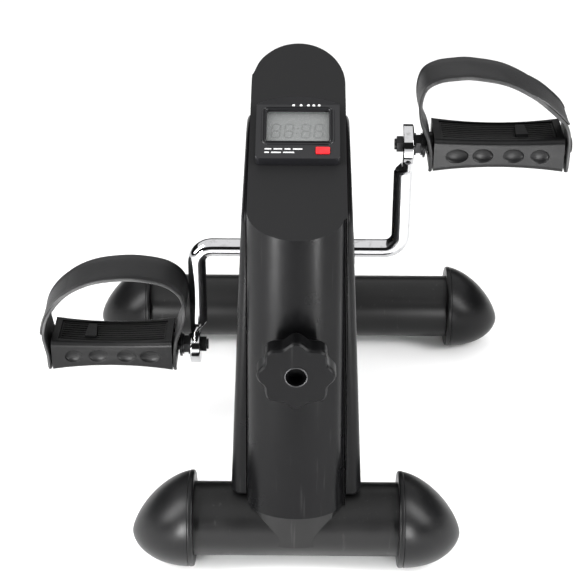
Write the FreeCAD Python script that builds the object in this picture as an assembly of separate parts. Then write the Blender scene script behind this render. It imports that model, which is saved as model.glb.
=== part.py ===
import FreeCAD, Part
import math
import os

# Pedal exerciser. Millimetres. The user sits on the -Y side and faces +Y; +X is the user's
# right hand; +Z is up. The design is laid out about the floor point midway between the two
# leg tubes, and every piece is written SHIFT_Y further back, which puts the origin on the
# floor under the middle of the whole object.

# ---------------------------------------------------------------- driving dimensions
SHIFT_Y = 9.0            # from the layout's origin to the finished one
TUBE_R = 27.0            # leg tube outside radius
TUBE_WALL = 2.0
TUBE_Z = 34.5            # leg tube axis height
FRONT_Y = -150.0         # front leg tube axis
REAR_Y = 150.0           # rear leg tube axis
FRONT_RIM = 74.0         # inner face of the front caps, from the middle
REAR_RIM = 130.0         # inner face of the rear caps, from the middle
TUBE_IN_CAP = 14.0       # how far each tube runs inside its cap
CAP_R = 35.3             # rim radius of a cap
CAP_LEN = 46.5           # rim face to tip

AXLE_Y = -30.0           # crank axle
AXLE_Z = 195.0
CRANK_LEN = 86.0         # axle to pedal spindle
ROD_R = 6.75             # chrome crank rod
ARM_X = 76.0             # centre plane of each crank arm
BEND_R = 12.0            # centre-line radius of the crank bends
EYE_R = 14.5             # flattened end of an arm
EYE_T = 7.8
EYE_X = 78.6             # centre plane of the flattened end

COVER_NOSE = -181.2      # foremost line of the front cover
COVER_REAR = -18.0       # rearmost line of the console head
COVER_Z0 = 59.0          # lower edge of the front cover
COVER_HALF0 = 35.4       # half width of the cover at its lower edge
COVER_HALF1 = 32.2       # half width of the cover at the top
COVER_TOP = 352.0
NOSE_DEPTH = 23.5        # depth of the rounded front
HEAD_DEPTH = 36.0        # depth of the rounded back, which makes the arch of the head
COVER_WALL = 2.4
FACET_DEG = 22.6         # slope of the flat top facet
FACET_Z = 285.0          # height of the facet at the nose

SHELL_FRONT = -158.0     # front edge of the side shells
SHELL_X0 = 47.0          # shell half width at the foot
SHELL_X1 = 34.8          # shell half width at the top
SHELL_Z0 = 62.2
SHELL_Z1 = 325.0
SHELL_WALL = 2.5

PLATE_X = 23.5           # inner face of each frame side plate
PLATE_T = 3.0
HUB_R = 17.0
HUB_X = 36.5             # outer end of each bearing hub
BUSH_R = 13.0

DRUM_R = 66.0
DRUM_HALF = 13.0
BELT_GAP = 3.5
BELT_T = 2.5
BELT_HALF = 10.0
YOKE_Y = -133.0          # front face of the belt yoke
YOKE_LEN = 12.0

KNOB_Z = AXLE_Z          # tension knob axis height
KNOB_FACE = -203.0
KNOB_BACK = -188.0
KNOB_HUB = -183.6
KNOB_R = 24.6
KNOB_LOBE = 1.7
KNOB_LOBES = 8
ROD_THREAD_R = 4.0

PEDAL_IN = 96.0          # inner end of a pedal
PEDAL_OUT = 188.0        # outer end of a pedal
PEDAL_DEEP = 40.0        # fore-and-aft size at the ends
PEDAL_THICK = 26.0       # thickness at the ends
PEDAL_WAIST = 4.6        # how much thinner and narrower the middle is
SPINDLE_R = 5.0
PEDAL_BORE = 7.05
BOSS_R = 9.0

STRAP_W = 38.0
STRAP_T = 2.5

CONSOLE_W = 56.0
CONSOLE_H = 53.0
CONSOLE_T = 7.0
CONSOLE_Y = -98.0        # where the middle of the console sits on the facet
BUTTON_X = 16.6
BUTTON_V = -19.8

SLOPE = math.tan(math.radians(FACET_DEG))
X_AXIS = FreeCAD.Vector(1, 0, 0)
Y_AXIS = FreeCAD.Vector(0, 1, 0)
Z_AXIS = FreeCAD.Vector(0, 0, 1)


def vec(x, y, z):
    return FreeCAD.Vector(x, y, z)


def facet_z(y):
    return FACET_Z + SLOPE * (y - COVER_NOSE)


# ---------------------------------------------------------------- helpers
def box(x0, y0, z0, x1, y1, z1):
    return Part.makeBox(x1 - x0, y1 - y0, z1 - z0, vec(x0, y0, z0))


def cyl_x(radius, x0, x1, y, z):
    return Part.makeCylinder(radius, x1 - x0, vec(x0, y, z), X_AXIS)


def cyl_y(radius, y0, y1, x, z):
    return Part.makeCylinder(radius, y1 - y0, vec(x, y0, z), Y_AXIS)


def cyl_z(radius, z0, z1, x, y):
    return Part.makeCylinder(radius, z1 - z0, vec(x, y, z0), Z_AXIS)


def hex_prism(flats, base, axis, length):
    circle_r = flats / 2.0 / math.cos(math.pi / 6)
    points = []
    for i in range(7):
        a = i * math.pi / 3
        points.append(vec(circle_r * math.cos(a), circle_r * math.sin(a), 0))
    solid = Part.Face(Part.makePolygon(points)).extrude(vec(0, 0, length))
    turn = FreeCAD.Rotation(Z_AXIS, axis)
    solid.Placement = FreeCAD.Placement(base, turn)
    return solid


def rounded_wire(points, place):
    """Closed outline through (a, b, radius) corners; place(a, b) gives the 3-D point."""
    edges = []
    starts = []
    ends = []
    count = len(points)
    for i in range(count):
        a, b, radius = points[i]
        pa, pb, _ = points[i - 1]
        na, nb, _ = points[(i + 1) % count]
        corner = vec(a, b, 0)
        to_prev = vec(pa, pb, 0).sub(corner).normalize()
        to_next = vec(na, nb, 0).sub(corner).normalize()
        half = to_prev.getAngle(to_next) / 2.0
        if radius <= 0 or half > 1.55:
            starts.append(corner)
            ends.append(corner)
            continue
        reach = radius / math.tan(half)
        t0 = corner.add(to_prev * reach)
        t1 = corner.add(to_next * reach)
        bisect = to_prev.add(to_next).normalize()
        middle = corner.add(bisect * (radius / math.sin(half) - radius))
        flat = [place(p.x, p.y) for p in (t0, middle, t1)]
        edges.append((i, Part.Arc(*flat).toShape()))
        starts.append(t0)
        ends.append(t1)
    arcs = dict(edges)
    loop = []
    for i in range(count):
        if i in arcs:
            loop.append(arcs[i])
        p = ends[i]
        q = starts[(i + 1) % count]
        if p.sub(q).Length > 1e-6:
            loop.append(Part.makeLine(place(p.x, p.y), place(q.x, q.y)))
    return Part.Wire(loop)


def side_face(points):
    """Face in the Y-Z plane from (y, z, radius) corners."""
    return Part.Face(rounded_wire(points, lambda a, b: vec(0, a, b)))


def prism_x(points, x0, x1):
    solid = side_face(points).extrude(vec(x1 - x0, 0, 0))
    solid.translate(vec(x0, 0, 0))
    return solid


def plan_wire(half, nose, rear, depth, z, rear_depth):
    """Column outline in plan: straight sides, elliptical front and rear ends."""
    front_c = nose + depth
    rear_c = rear - rear_depth
    front = half_ellipse(front_c, half, depth, -1, z)
    back = half_ellipse(rear_c, half, rear_depth, 1, z)
    right = Part.makeLine(vec(half, front_c, z), vec(half, rear_c, z))
    left = Part.makeLine(vec(-half, rear_c, z), vec(-half, front_c, z))
    return Part.Wire([front, right, back, left])


def half_ellipse(centre_y, half, depth, side, z):
    """Half an ellipse in plan, bulging towards -Y (side -1) or +Y (side 1)."""
    points = []
    steps = 12
    for i in range(steps + 1):
        a = math.pi * i / steps
        x = half * math.cos(a) * side
        y = centre_y + side * depth * math.sin(a)
        points.append(vec(x, y, z))
    curve = Part.BSplineCurve()
    curve.interpolate(Points=points, InitialTangent=vec(0, 1, 0) * side,
                      FinalTangent=vec(0, -1, 0) * side)
    return curve.toShape()


def column(inset, z0, z1, rear_y):
    """Tapering column of the front cover, shrunk by inset."""
    wires = []
    for z in (z0, z1):
        share = (z - COVER_Z0) / (COVER_TOP - COVER_Z0)
        half = COVER_HALF0 + (COVER_HALF1 - COVER_HALF0) * share - inset
        nose = COVER_NOSE + inset
        depth = NOSE_DEPTH - inset
        wires.append(plan_wire(half, nose, rear_y - inset, depth, z, HEAD_DEPTH - inset))
    return Part.makeLoft(wires, True, True)


def below_facet(drop):
    """Everything under the facet plane, lowered by drop along its normal."""
    fall = drop / math.cos(math.radians(FACET_DEG))
    y0 = COVER_NOSE - 30
    y1 = COVER_REAR + 40
    points = [(y0, 0, 0), (y0, facet_z(y0) - fall, 0), (y1, facet_z(y1) - fall, 0), (y1, 0, 0)]
    return prism_x(points, -60, 60)


def fillet_best(solid, edges, sizes):
    """Fillet the edges with the first size that gives a valid solid."""
    for size in sizes:
        try:
            out = solid.makeFillet(size, edges)
        except Exception:
            continue
        if out.isValid() and out.Volume > 0.5 * solid.Volume:
            return out
    return solid


def mirrored(shape):
    return shape.mirror(vec(0, 0, 0), X_AXIS)


def on_facet(shape):
    """Move a shape drawn flat (Y up the slope, Z out of it) onto the facet."""
    out = shape.copy()
    out.rotate(vec(0, 0, 0), X_AXIS, FACET_DEG)
    out.translate(vec(0, CONSOLE_Y, facet_z(CONSOLE_Y)))
    return out


def rounded_plate(width, height, z0, z1, radius, x=0.0, v=0.0):
    solid = box(x - width / 2, v - height / 2, z0, x + width / 2, v + height / 2, z1)
    uprights = [e for e in solid.Edges if abs(e.tangentAt(e.FirstParameter).z) > 0.9]
    return solid.makeFillet(radius, uprights)


os.makedirs("parts", exist_ok=True)


def export(shape, name):
    out = shape.Solids[0] if len(shape.Solids) == 1 else shape
    out = out.copy()
    out.translate(vec(0, SHIFT_Y, 0))
    out.exportStep("parts/" + name + ".step")


# ---------------------------------------------------------------- leg tubes and end caps
BOLT_X = 14.0


def leg_tube(axis_y, half):
    tube = cyl_x(TUBE_R, -half, half, axis_y, TUBE_Z)
    tube = tube.cut(cyl_x(TUBE_R - TUBE_WALL, -half - 1, half + 1, axis_y, TUBE_Z))
    for x in (-BOLT_X, BOLT_X):
        tube = tube.cut(cyl_z(4.4, 50, 70, x, axis_y))
    return tube


export(leg_tube(FRONT_Y, FRONT_RIM + TUBE_IN_CAP), "front_leg_tube")
export(leg_tube(REAR_Y, REAR_RIM + TUBE_IN_CAP), "rear_leg_tube")

# how far along the dome, as a share of its length, each section is taken
CAP_SECTIONS = (0.09, 0.25, 0.42, 0.58, 0.72, 0.84, 0.93, 0.982)
CAP_DROP = 0.338         # how far the tip hangs below the rim centre, share of rim radius


def end_cap(rim_x, axis_y):
    """Domed non-slip cap on the +X end of a leg tube."""
    wires = []
    for share in CAP_SECTIONS:
        size = (1 - share ** 1.85) ** 0.61
        z = TUBE_Z - CAP_DROP * CAP_R * share ** 1.5
        centre = vec(rim_x + share * CAP_LEN, axis_y, z)
        wires.append(Part.Wire(Part.makeCircle(size * CAP_R, centre, X_AXIS)))
    tip = Part.Vertex(rim_x + CAP_LEN, axis_y, TUBE_Z - CAP_DROP * CAP_R)
    dome = Part.makeLoft(wires + [tip], True, False)
    lip = cyl_x(CAP_R, rim_x, rim_x + 4.4, axis_y, TUBE_Z)
    lip = fillet_best(lip, lip.Edges, (1.6, 1.2, 0.8))
    cap = dome.fuse(lip)
    cap = cap.cut(cyl_x(TUBE_R + 0.1, rim_x - 1, rim_x + TUBE_IN_CAP + 1.5, axis_y, TUBE_Z))
    cap = cap.cut(cyl_x(18.0, rim_x, rim_x + 26, axis_y, TUBE_Z - 2))
    return cap.cut(box(rim_x - 5, axis_y - 60, -30, rim_x + 80, axis_y + 60, 0))


for end, rim, axis_y in (("front", FRONT_RIM, FRONT_Y), ("rear", REAR_RIM, REAR_Y)):
    right_cap = end_cap(rim, axis_y)
    export(right_cap, "cap_" + end + "_right")
    export(mirrored(right_cap), "cap_" + end + "_left")

# ---------------------------------------------------------------- steel frame
POST_TOP = 255.0
POST_BACK = -126.0
GUIDE_HOLE_R = 7.0


def frame_post():
    """Rounded steel post, open at the back, saddled over the front tube."""
    outer = column(COVER_WALL + 0.4, 30, POST_TOP, POST_BACK + 40)
    inner = column(COVER_WALL + 3.4, 30, POST_TOP, POST_BACK + 60)
    post = outer.cut(inner)
    for z in (78.0, POST_TOP - 4.0):
        post = post.fuse(outer.common(box(-60, -200, z, 60, POST_BACK, z + 3)))
    post = post.cut(box(-60, POST_BACK, 0, 60, 60, 400))
    post = post.cut(box(-60, FRONT_Y, 0, 60, 60, 64.6))
    return post


SIDE_PLATE = [(-150, 60, 0), (-152, 249, 0), (-128, 249, 8), (-20, 224, 10), (12, 206, 14),
              (142, 84, 10), (150, 60, 0), (122, 40, 0), (118.5, 89, 4), (0, 152, 20),
              (-60, 152, 20), (-118.5, 92, 4), (-122, 58, 0)]


def saddle(axis_y, half, y0, y1):
    """Curved pad welded on top of a leg tube."""
    pad = cyl_x(TUBE_R + 3.1, -half, half, axis_y, TUBE_Z)
    return pad.common(box(-half, y0, TUBE_Z + 10, half, y1, 90))


def main_frame():
    frame = frame_post()
    for side in (-1, 1):
        x0 = min(side * PLATE_X, side * (PLATE_X + PLATE_T))
        plate = prism_x(SIDE_PLATE, x0, x0 + PLATE_T)
        hub_x0 = min(side * 21.5, side * HUB_X)
        hub = cyl_x(HUB_R, hub_x0, hub_x0 + HUB_X - 21.5, AXLE_Y, AXLE_Z)
        frame = frame.fuse([plate, hub])
    half = PLATE_X + PLATE_T
    frame = frame.fuse([saddle(REAR_Y, half, 124, 159), saddle(FRONT_Y, half, -159, -124)])
    for y, z in ((70.0, 126.0), (112.0, 101.0)):
        frame = frame.fuse(cyl_x(5.0, -PLATE_X - 1, PLATE_X + 1, y, z))
    frame = frame.cut(cyl_x(BUSH_R + 0.05, -60, 60, AXLE_Y, AXLE_Z))
    for axis_y in (FRONT_Y, REAR_Y):
        frame = frame.cut(cyl_x(TUBE_R + 0.1, -80, 80, axis_y, TUBE_Z))
        for x in (-BOLT_X, BOLT_X):
            frame = frame.cut(cyl_z(4.4, 50, 76, x, axis_y))
    frame = frame.cut(cyl_y(GUIDE_HOLE_R, -200, -160, 0, KNOB_Z))
    return frame.removeSplitter()


export(main_frame(), "main_frame")

# bolts down through each saddle into nuts held inside the leg tube
leg_bolts = []
leg_nuts = []
for axis_y in (FRONT_Y, REAR_Y):
    for x in (-BOLT_X, BOLT_X):
        head = hex_prism(13.0, vec(x, axis_y, 64.8), Z_AXIS, 5.2)
        leg_bolts.append(head.fuse(cyl_z(4.0, 48.0, 66.0, x, axis_y)))
        nut = hex_prism(13.0, vec(x, axis_y, 51.8), Z_AXIS, 6.0)
        leg_nuts.append(nut.cut(cyl_z(4.05, 40, 60, x, axis_y)))
export(Part.makeCompound(leg_bolts), "leg_bolts")
export(Part.makeCompound(leg_nuts), "leg_nuts")

# ---------------------------------------------------------------- front cover with console head
SHELL_SIDE = [(SHELL_FRONT, SHELL_Z0, 2), (SHELL_FRONT, 290, 14), (-72, 328, 42), (4, 276, 500),
              (70, 226, 200), (124, 150, 300), (164, 78, 10), (164, SHELL_Z0, 2),
              (124, SHELL_Z0, 2), (116, 84, 10), (-112, 84, 10), (-120, SHELL_Z0, 2)]
POD_FOOT = [(-146, 40, 0), (-146, 284, 8), (-72, 313, 20), (20, 252, 0), (60, 40, 0)]


def front_cover():
    cover = column(0, COVER_Z0, 420, COVER_REAR).common(below_facet(0))
    hollow = column(COVER_WALL, COVER_Z0 - 5, 420, COVER_REAR).common(below_facet(2.8))
    cover = cover.cut(hollow)
    cover = cover.cut(prism_x(POD_FOOT, -60, 60))
    cover = cover.cut(cyl_x(TUBE_R + 0.5, -60, 60, FRONT_Y, TUBE_Z))
    cover = cover.cut(on_facet(rounded_plate(50.6, 46.6, -30, 30, 3)))
    return cover.cut(cyl_y(GUIDE_HOLE_R, -200, -160, 0, KNOB_Z))


export(front_cover(), "front_cover")

# ---------------------------------------------------------------- side shells
SCREW_SPOTS = [(-84.0, 97.0), (52.0, 98.0), (45.0, 231.0), (78.0, 190.0)]


def flare(inset):
    """Half space inside the sloping outer face of the +X shell."""
    rise = SHELL_Z1 - SHELL_Z0
    lean = (SHELL_X0 - SHELL_X1) / rise
    low = SHELL_X0 + lean * 62.2 - inset
    high = SHELL_X0 - lean * (400 - SHELL_Z0) - inset
    wire = Part.makePolygon([vec(0, -300, 0), vec(low, -300, 0), vec(high, -300, 400),
                             vec(0, -300, 400), vec(0, -300, 0)])
    return Part.Face(wire).extrude(vec(0, 600, 0))


def shell_outer():
    solid = prism_x(SHELL_SIDE, 0.15, 70).common(flare(0))
    rim = []
    for edge in solid.Edges:
        middle = edge.valueAt((edge.FirstParameter + edge.LastParameter) / 2)
        if middle.x > 30 and abs(edge.tangentAt(edge.FirstParameter).x) < 0.9:
            rim.append(edge)
    return fillet_best(solid, rim, (6.0, 5.0, 4.0, 3.0, 2.0))


def side_shell(screw_head):
    """The +X half of the housing; screw_head says which kind of screw boss it has."""
    shell = shell_outer()
    inner = side_face(SHELL_SIDE).makeOffset2D(-SHELL_WALL).extrude(vec(70, 0, 0))
    inner = inner.common(flare(SHELL_WALL))
    inner.translate(vec(-1, 0, 0))
    shell = shell.cut(inner)
    gap = column(-0.6, 40, 420, COVER_REAR)
    keep_low = box(-1, -145, 40, 60, 60, 236)
    shell = shell.cut(gap.cut(keep_low))
    shell = shell.cut(box(-1, -160, 50, 34.0, -117.5, 96))
    shell = shell.cut(box(-1, 117.5, 50, 29.0, 160.5, 77))
    shell = shell.cut(box(-1, 117.5, 50, 29.0, 147.5, 92))
    bosses = []
    for y, z in SCREW_SPOTS:
        bosses.append(cyl_x(5.5, 0.3, 60, y, z).common(flare(1.0)))
    shell = shell.fuse(bosses)
    for y, z in SCREW_SPOTS:
        if screw_head:
            shell = shell.cut(cyl_x(2.4, -1, 60, y, z))
            shell = shell.cut(cyl_x(4.3, 11.8, 60, y, z))
        else:
            shell = shell.cut(cyl_x(1.9, -1, 18, y, z))
    rim = cyl_x(12.0, HUB_X + 0.8, 60, AXLE_Y, AXLE_Z).common(flare(-1.2))
    shell = shell.fuse(rim)
    return shell.cut(cyl_x(8.2, 0, 60, AXLE_Y, AXLE_Z))


export(side_shell(True), "shell_right")
export(mirrored(side_shell(False)), "shell_left")

screws = []
for y, z in SCREW_SPOTS:
    screws.append(cyl_x(4.0, 8.6, 11.8, y, z).fuse(cyl_x(1.8, -17.0, 9.0, y, z)))
for screw in screws:
    screw.translate(vec(3.3, 0, 0))
export(Part.makeCompound(screws), "housing_screws")

# ---------------------------------------------------------------- crank, bearings and drum
EYE_START = 64.0


def crank_path(side):
    """Half of the bent rod's centre line, from the middle of the axle to the arm."""
    up = side
    x1 = ARM_X - BEND_R
    bend_mid = BEND_R * (1 - math.sqrt(0.5))
    line_a = Part.makeLine(vec(0, AXLE_Y, AXLE_Z), vec(side * x1, AXLE_Y, AXLE_Z))
    arc = Part.Arc(vec(side * x1, AXLE_Y, AXLE_Z),
                   vec(side * (ARM_X - bend_mid), AXLE_Y, AXLE_Z + up * bend_mid),
                   vec(side * ARM_X, AXLE_Y, AXLE_Z + up * BEND_R)).toShape()
    line_b = Part.makeLine(vec(side * ARM_X, AXLE_Y, AXLE_Z + up * BEND_R),
                           vec(side * ARM_X, AXLE_Y, AXLE_Z + up * EYE_START))
    return Part.Wire([line_a, arc, line_b])


def arm_end(side):
    """Forged end of an arm: the round rod flattens into an eye for the spindle."""
    x = side * ARM_X
    start = Part.Wire(Part.makeCircle(ROD_R, vec(x, AXLE_Y, AXLE_Z + side * EYE_START), Z_AXIS))
    wires = [start]
    shift = EYE_X - ARM_X
    for reach, deep, thick, part in ((2, 7.6, 6.0, 0.2), (5, 10.6, EYE_T / 2, 1.0),
                                     (12, 13.2, EYE_T / 2, 1.0)):
        z = AXLE_Z + side * (EYE_START + reach)
        centre = vec(x + side * shift * part, AXLE_Y, z)
        oval = Part.Ellipse(centre, deep, thick).toShape()
        oval.rotate(centre, Z_AXIS, 90)
        wires.append(Part.Wire(oval))
    neck = Part.makeLoft(wires, True, True)
    eye_z = AXLE_Z + side * CRANK_LEN
    eye_x = side * EYE_X
    eye = cyl_x(EYE_R, eye_x - EYE_T / 2, eye_x + EYE_T / 2, AXLE_Y, eye_z)
    eye = fillet_best(eye, eye.Edges, (1.0, 0.6))
    return neck.fuse(eye)


def crank():
    halves = []
    for side in (-1, 1):
        start = Part.Wire(Part.makeCircle(ROD_R, vec(0, AXLE_Y, AXLE_Z), X_AXIS))
        halves.append(crank_path(side).makePipeShell([start], True, False))
        halves.append(arm_end(side))
    rod = halves[0].fuse(halves[1:])
    for side in (-1, 1):
        rod = rod.cut(cyl_x(4.1, side * EYE_X - 10, side * EYE_X + 10, AXLE_Y,
                            AXLE_Z + side * CRANK_LEN))
    return rod.removeSplitter()


export(crank(), "crank")


def ring_x(r_out, r_in, x0, x1, y, z):
    return cyl_x(r_out, x0, x1, y, z).cut(cyl_x(r_in, x0 - 1, x1 + 1, y, z))


bush = ring_x(BUSH_R, ROD_R + 0.06, 21.5, HUB_X, AXLE_Y, AXLE_Z)
export(bush, "bearing_right")
export(mirrored(bush), "bearing_left")

collar = ring_x(10.5, ROD_R + 0.02, DRUM_HALF + 0.2, 20.9, AXLE_Y, AXLE_Z)
export(Part.makeCompound([collar, mirrored(collar)]), "axle_collars")


def friction_drum():
    drum = ring_x(DRUM_R, DRUM_R - 7, -DRUM_HALF, DRUM_HALF, AXLE_Y, AXLE_Z)
    web = ring_x(DRUM_R - 6, 12, -3, 3, AXLE_Y, AXLE_Z)
    hub = ring_x(15.0, ROD_R + 0.02, -DRUM_HALF, DRUM_HALF, AXLE_Y, AXLE_Z)
    drum = drum.fuse([web, hub])
    for i in range(5):
        a = 2 * math.pi * i / 5 + 0.3
        y = AXLE_Y + 37 * math.cos(a)
        z = AXLE_Z + 37 * math.sin(a)
        drum = drum.cut(cyl_x(11.0, -5, 5, y, z))
    pocket = cyl_x(4.1, 3, 20, AXLE_Y, AXLE_Z - DRUM_R + 6)
    seat = cyl_x(6.0, 2, DRUM_HALF, AXLE_Y, AXLE_Z - DRUM_R + 6.5)
    seat = seat.common(cyl_x(DRUM_R, 0, 20, AXLE_Y, AXLE_Z))
    return drum.fuse(seat).cut(pocket)


export(friction_drum(), "friction_drum")
export(cyl_x(4.0, 8.0, DRUM_HALF + 1.0, AXLE_Y, AXLE_Z - DRUM_R + 6), "speed_magnet")
sensor = box(17.5, AXLE_Y - 5, AXLE_Z - DRUM_R - 4, 23.4, AXLE_Y + 5, AXLE_Z - DRUM_R + 12)
export(sensor, "reed_sensor")

# ---------------------------------------------------------------- tension unit
BELT_R = DRUM_R + BELT_GAP
YOKE_TIE = 13.0          # height of the belt ends above and below the rod


def brake_belt():
    """Band around the drum, both ends meeting at the yoke."""
    outer_r = BELT_R + BELT_T
    tie_y = YOKE_Y + YOKE_LEN / 2
    shapes = []
    for radius, tie in ((BELT_R, YOKE_TIE - BELT_T / 2), (outer_r, YOKE_TIE + BELT_T / 2)):
        dy = tie_y - AXLE_Y
        reach = math.hypot(dy, tie)
        spread = math.acos(radius / reach)
        lean = math.atan2(tie, dy)
        touch = lean - spread
        ty = AXLE_Y + radius * math.cos(touch)
        tz = radius * math.sin(touch)
        up = Part.makeLine(vec(0, tie_y, AXLE_Z + tie), vec(0, ty, AXLE_Z + tz))
        down = Part.makeLine(vec(0, ty, AXLE_Z - tz), vec(0, tie_y, AXLE_Z - tie))
        back = Part.Arc(vec(0, ty, AXLE_Z + tz), vec(0, AXLE_Y + radius, AXLE_Z),
                        vec(0, ty, AXLE_Z - tz)).toShape()
        close = Part.makeLine(vec(0, tie_y, AXLE_Z - tie), vec(0, tie_y, AXLE_Z + tie))
        shapes.append(Part.Face(Part.Wire([up, back, down, close])))
    band = shapes[1].cut(shapes[0]).extrude(vec(2 * BELT_HALF, 0, 0))
    band.translate(vec(-BELT_HALF, 0, 0))
    return band


def belt_yoke():
    """Block on the end of the rod that grips both belt ends."""
    half = YOKE_TIE + BELT_T / 2
    block = box(-12, YOKE_Y, AXLE_Z - half - 3, 12, YOKE_Y + YOKE_LEN, AXLE_Z + half + 3)
    block = block.cut(cyl_y(ROD_THREAD_R + 0.05, YOKE_Y - 1, YOKE_Y + YOKE_LEN + 1, 0, AXLE_Z))
    return block.cut(brake_belt())


export(brake_belt(), "brake_belt")
export(belt_yoke(), "belt_yoke")
export(cyl_y(ROD_THREAD_R, -188.5, YOKE_Y + YOKE_LEN + 2, 0, KNOB_Z), "tension_rod")

guide = cyl_y(GUIDE_HOLE_R - 0.05, -182.0, -168.0, 0, KNOB_Z)
guide = guide.fuse(cyl_y(10.0, -183.2, -181.6, 0, KNOB_Z))
export(guide.cut(cyl_y(ROD_THREAD_R + 0.06, -190, -160, 0, KNOB_Z)), "rod_guide")


def rod_spring():
    wire_r = 0.9
    coil_r = 6.2
    length = 30.0
    turns = 8
    helix = Part.makeHelix(length / turns, length, coil_r)
    section = Part.Wire(Part.makeCircle(wire_r, vec(coil_r, 0, 0), Y_AXIS))
    coil = helix.makePipeShell([section], True, True)
    coil.rotate(vec(0, 0, 0), X_AXIS, -90)
    coil.translate(vec(0, YOKE_Y - 2.0 - length, KNOB_Z))
    return coil


export(rod_spring(), "rod_spring")


def lobed_outline(grow, y):
    points = []
    steps = KNOB_LOBES * 8
    for i in range(steps):
        a = 2 * math.pi * i / steps
        r = KNOB_R + KNOB_LOBE * math.cos(KNOB_LOBES * a) + grow
        points.append(vec(r * math.sin(a), y, KNOB_Z + r * math.cos(a)))
    curve = Part.BSplineCurve()
    curve.interpolate(Points=points, PeriodicFlag=True)
    return Part.Wire(curve.toShape())


def tension_knob():
    layers = [(-1.6, KNOB_FACE), (-0.3, KNOB_FACE + 1.4), (0.0, KNOB_FACE + 3.0),
              (0.0, KNOB_BACK - 2.0), (-1.2, KNOB_BACK)]
    knob = None
    for (g0, y0), (g1, y1) in zip(layers, layers[1:]):
        slab = Part.makeLoft([lobed_outline(g0, y0), lobed_outline(g1, y1)], True, True)
        knob = slab if knob is None else knob.fuse(slab)
    knob = knob.fuse(cyl_y(13.0, KNOB_BACK - 1, KNOB_HUB, 0, KNOB_Z))
    knob = knob.cut(cyl_y(6.9, KNOB_FACE - 1, -194.0, 0, KNOB_Z))
    return knob.cut(cyl_y(7.6, -192.0, KNOB_HUB + 1, 0, KNOB_Z))


export(tension_knob(), "tension_knob")
insert = cyl_y(7.55, -191.9, KNOB_HUB, 0, KNOB_Z)
export(insert.cut(cyl_y(ROD_THREAD_R + 0.06, -200, -180, 0, KNOB_Z)), "knob_insert")

# ---------------------------------------------------------------- pedals (drawn at the +X side,
# with the spindle axis along X through y = 0, z = 0, then moved to the end of each arm)


def pedal_section(x, deep, thick):
    corner = 3.8
    a = deep / 2
    b = thick / 2
    points = [(-a, -b, corner), (a, -b, corner), (a, b, corner), (-a, b, corner)]
    return rounded_wire(points, lambda y, z: vec(x, y, z))


def pedal_bar(shrink):
    """Grip bar: waisted in the middle, fuller at both ends."""
    middle = (PEDAL_IN + PEDAL_OUT) / 2
    half = (PEDAL_OUT - PEDAL_IN) / 2
    wires = []
    for share in (-1.0, -0.8, -0.45, 0.0, 0.45, 0.8, 1.0):
        waist = PEDAL_WAIST * (1 - share * share)
        wires.append(pedal_section(middle + share * half, PEDAL_DEEP - waist - 2 * shrink,
                                   PEDAL_THICK - waist - 2 * shrink))
    return Part.makeLoft(wires, True, False)


TREAD_X0 = PEDAL_IN + 5.0
TREAD_X1 = PEDAL_OUT - 5.0
TREAD_HALF = 13.4
TREAD_FLOOR = 7.8
TREAD_GROOVES = 8
TREAD_PITCH = 3.1
DENTS = [(113.0, 8.6), (131.0, 7.6), (152.5, 7.6), (171.0, 7.0)]     # middle and half width
KEY_X = 158.8            # raised key in the tread that marks the strap's place


def tread_key(grow):
    """Tapered key standing in both treads, wider towards the user."""
    solids = []
    for side in (-1, 1):
        z = side * (TREAD_FLOOR - 1)
        points = [(-8 - grow, 4.4 + grow), (8 + grow, 3.3 + grow)]
        (y0, a), (y1, b) = points
        wire = Part.makePolygon([vec(KEY_X - a, y0, z), vec(KEY_X + a, y0, z),
                                 vec(KEY_X + b, y1, z), vec(KEY_X - b, y1, z),
                                 vec(KEY_X - a, y0, z)])
        solids.append(Part.Face(wire).extrude(vec(0, 0, side * (12.2 - TREAD_FLOOR + 1))))
    return solids


def dent(x, half, y):
    """Shallow oval finger dent in the long face at y."""
    stretch = FreeCAD.Matrix()
    stretch.scale(half, 2.4, 5.6)
    oval = Part.makeSphere(1.0).transformGeometry(stretch)
    oval.translate(vec(x, y, -0.5))
    return oval


def pedal_body():
    body = pedal_bar(0)
    for side in (-1, 1):
        z0 = min(side * TREAD_FLOOR, side * 30)
        body = body.cut(box(TREAD_X0, -TREAD_HALF, z0, TREAD_X1, TREAD_HALF, z0 + 22.2))
        for x, half in DENTS:
            share = (2 * x - PEDAL_IN - PEDAL_OUT) / (PEDAL_OUT - PEDAL_IN)
            face_y = (PEDAL_DEEP - PEDAL_WAIST * (1 - share * share)) / 2
            body = body.cut(dent(x, half, side * (face_y + 0.6)))
    body = body.fuse(tread_key(0) + [cyl_x(BOSS_R, PEDAL_IN - 3.4, PEDAL_IN + 2, 0, 0)])
    body = body.cut(cyl_x(PEDAL_BORE, 80, 176, 0, 0))
    return body.cut(cyl_x(8.5, 175.9, 200, 0, 0))


def pedal_treads():
    pads = []
    bar = pedal_bar(1.0)
    for side in (-1, 1):
        z0 = min(side * (TREAD_FLOOR + 0.1), side * 30)
        pad = bar.common(box(TREAD_X0 + 0.3, -TREAD_HALF + 0.3, z0, TREAD_X1 - 0.3,
                             TREAD_HALF - 0.3, z0 + 22.1))
        pad = pad.cut(tread_key(0.3))
        for i in range(TREAD_GROOVES):
            y = TREAD_PITCH * (i - (TREAD_GROOVES - 1) / 2)
            z1 = min(side * 9.1, side * 20)
            pad = pad.cut(box(TREAD_X0 + 1.5, y - 0.6, z1, TREAD_X1 - 1.5, y + 0.6, z1 + 10.9))
        pads.append(pad)
    return Part.makeCompound(pads)


def pedal_bushes():
    inner = ring_x(PEDAL_BORE - 0.05, SPINDLE_R + 0.06, 93.0, 105.0, 0, 0)
    outer = ring_x(PEDAL_BORE - 0.05, SPINDLE_R + 0.06, 163.0, 175.5, 0, 0)
    return Part.makeCompound([inner, outer])


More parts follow.
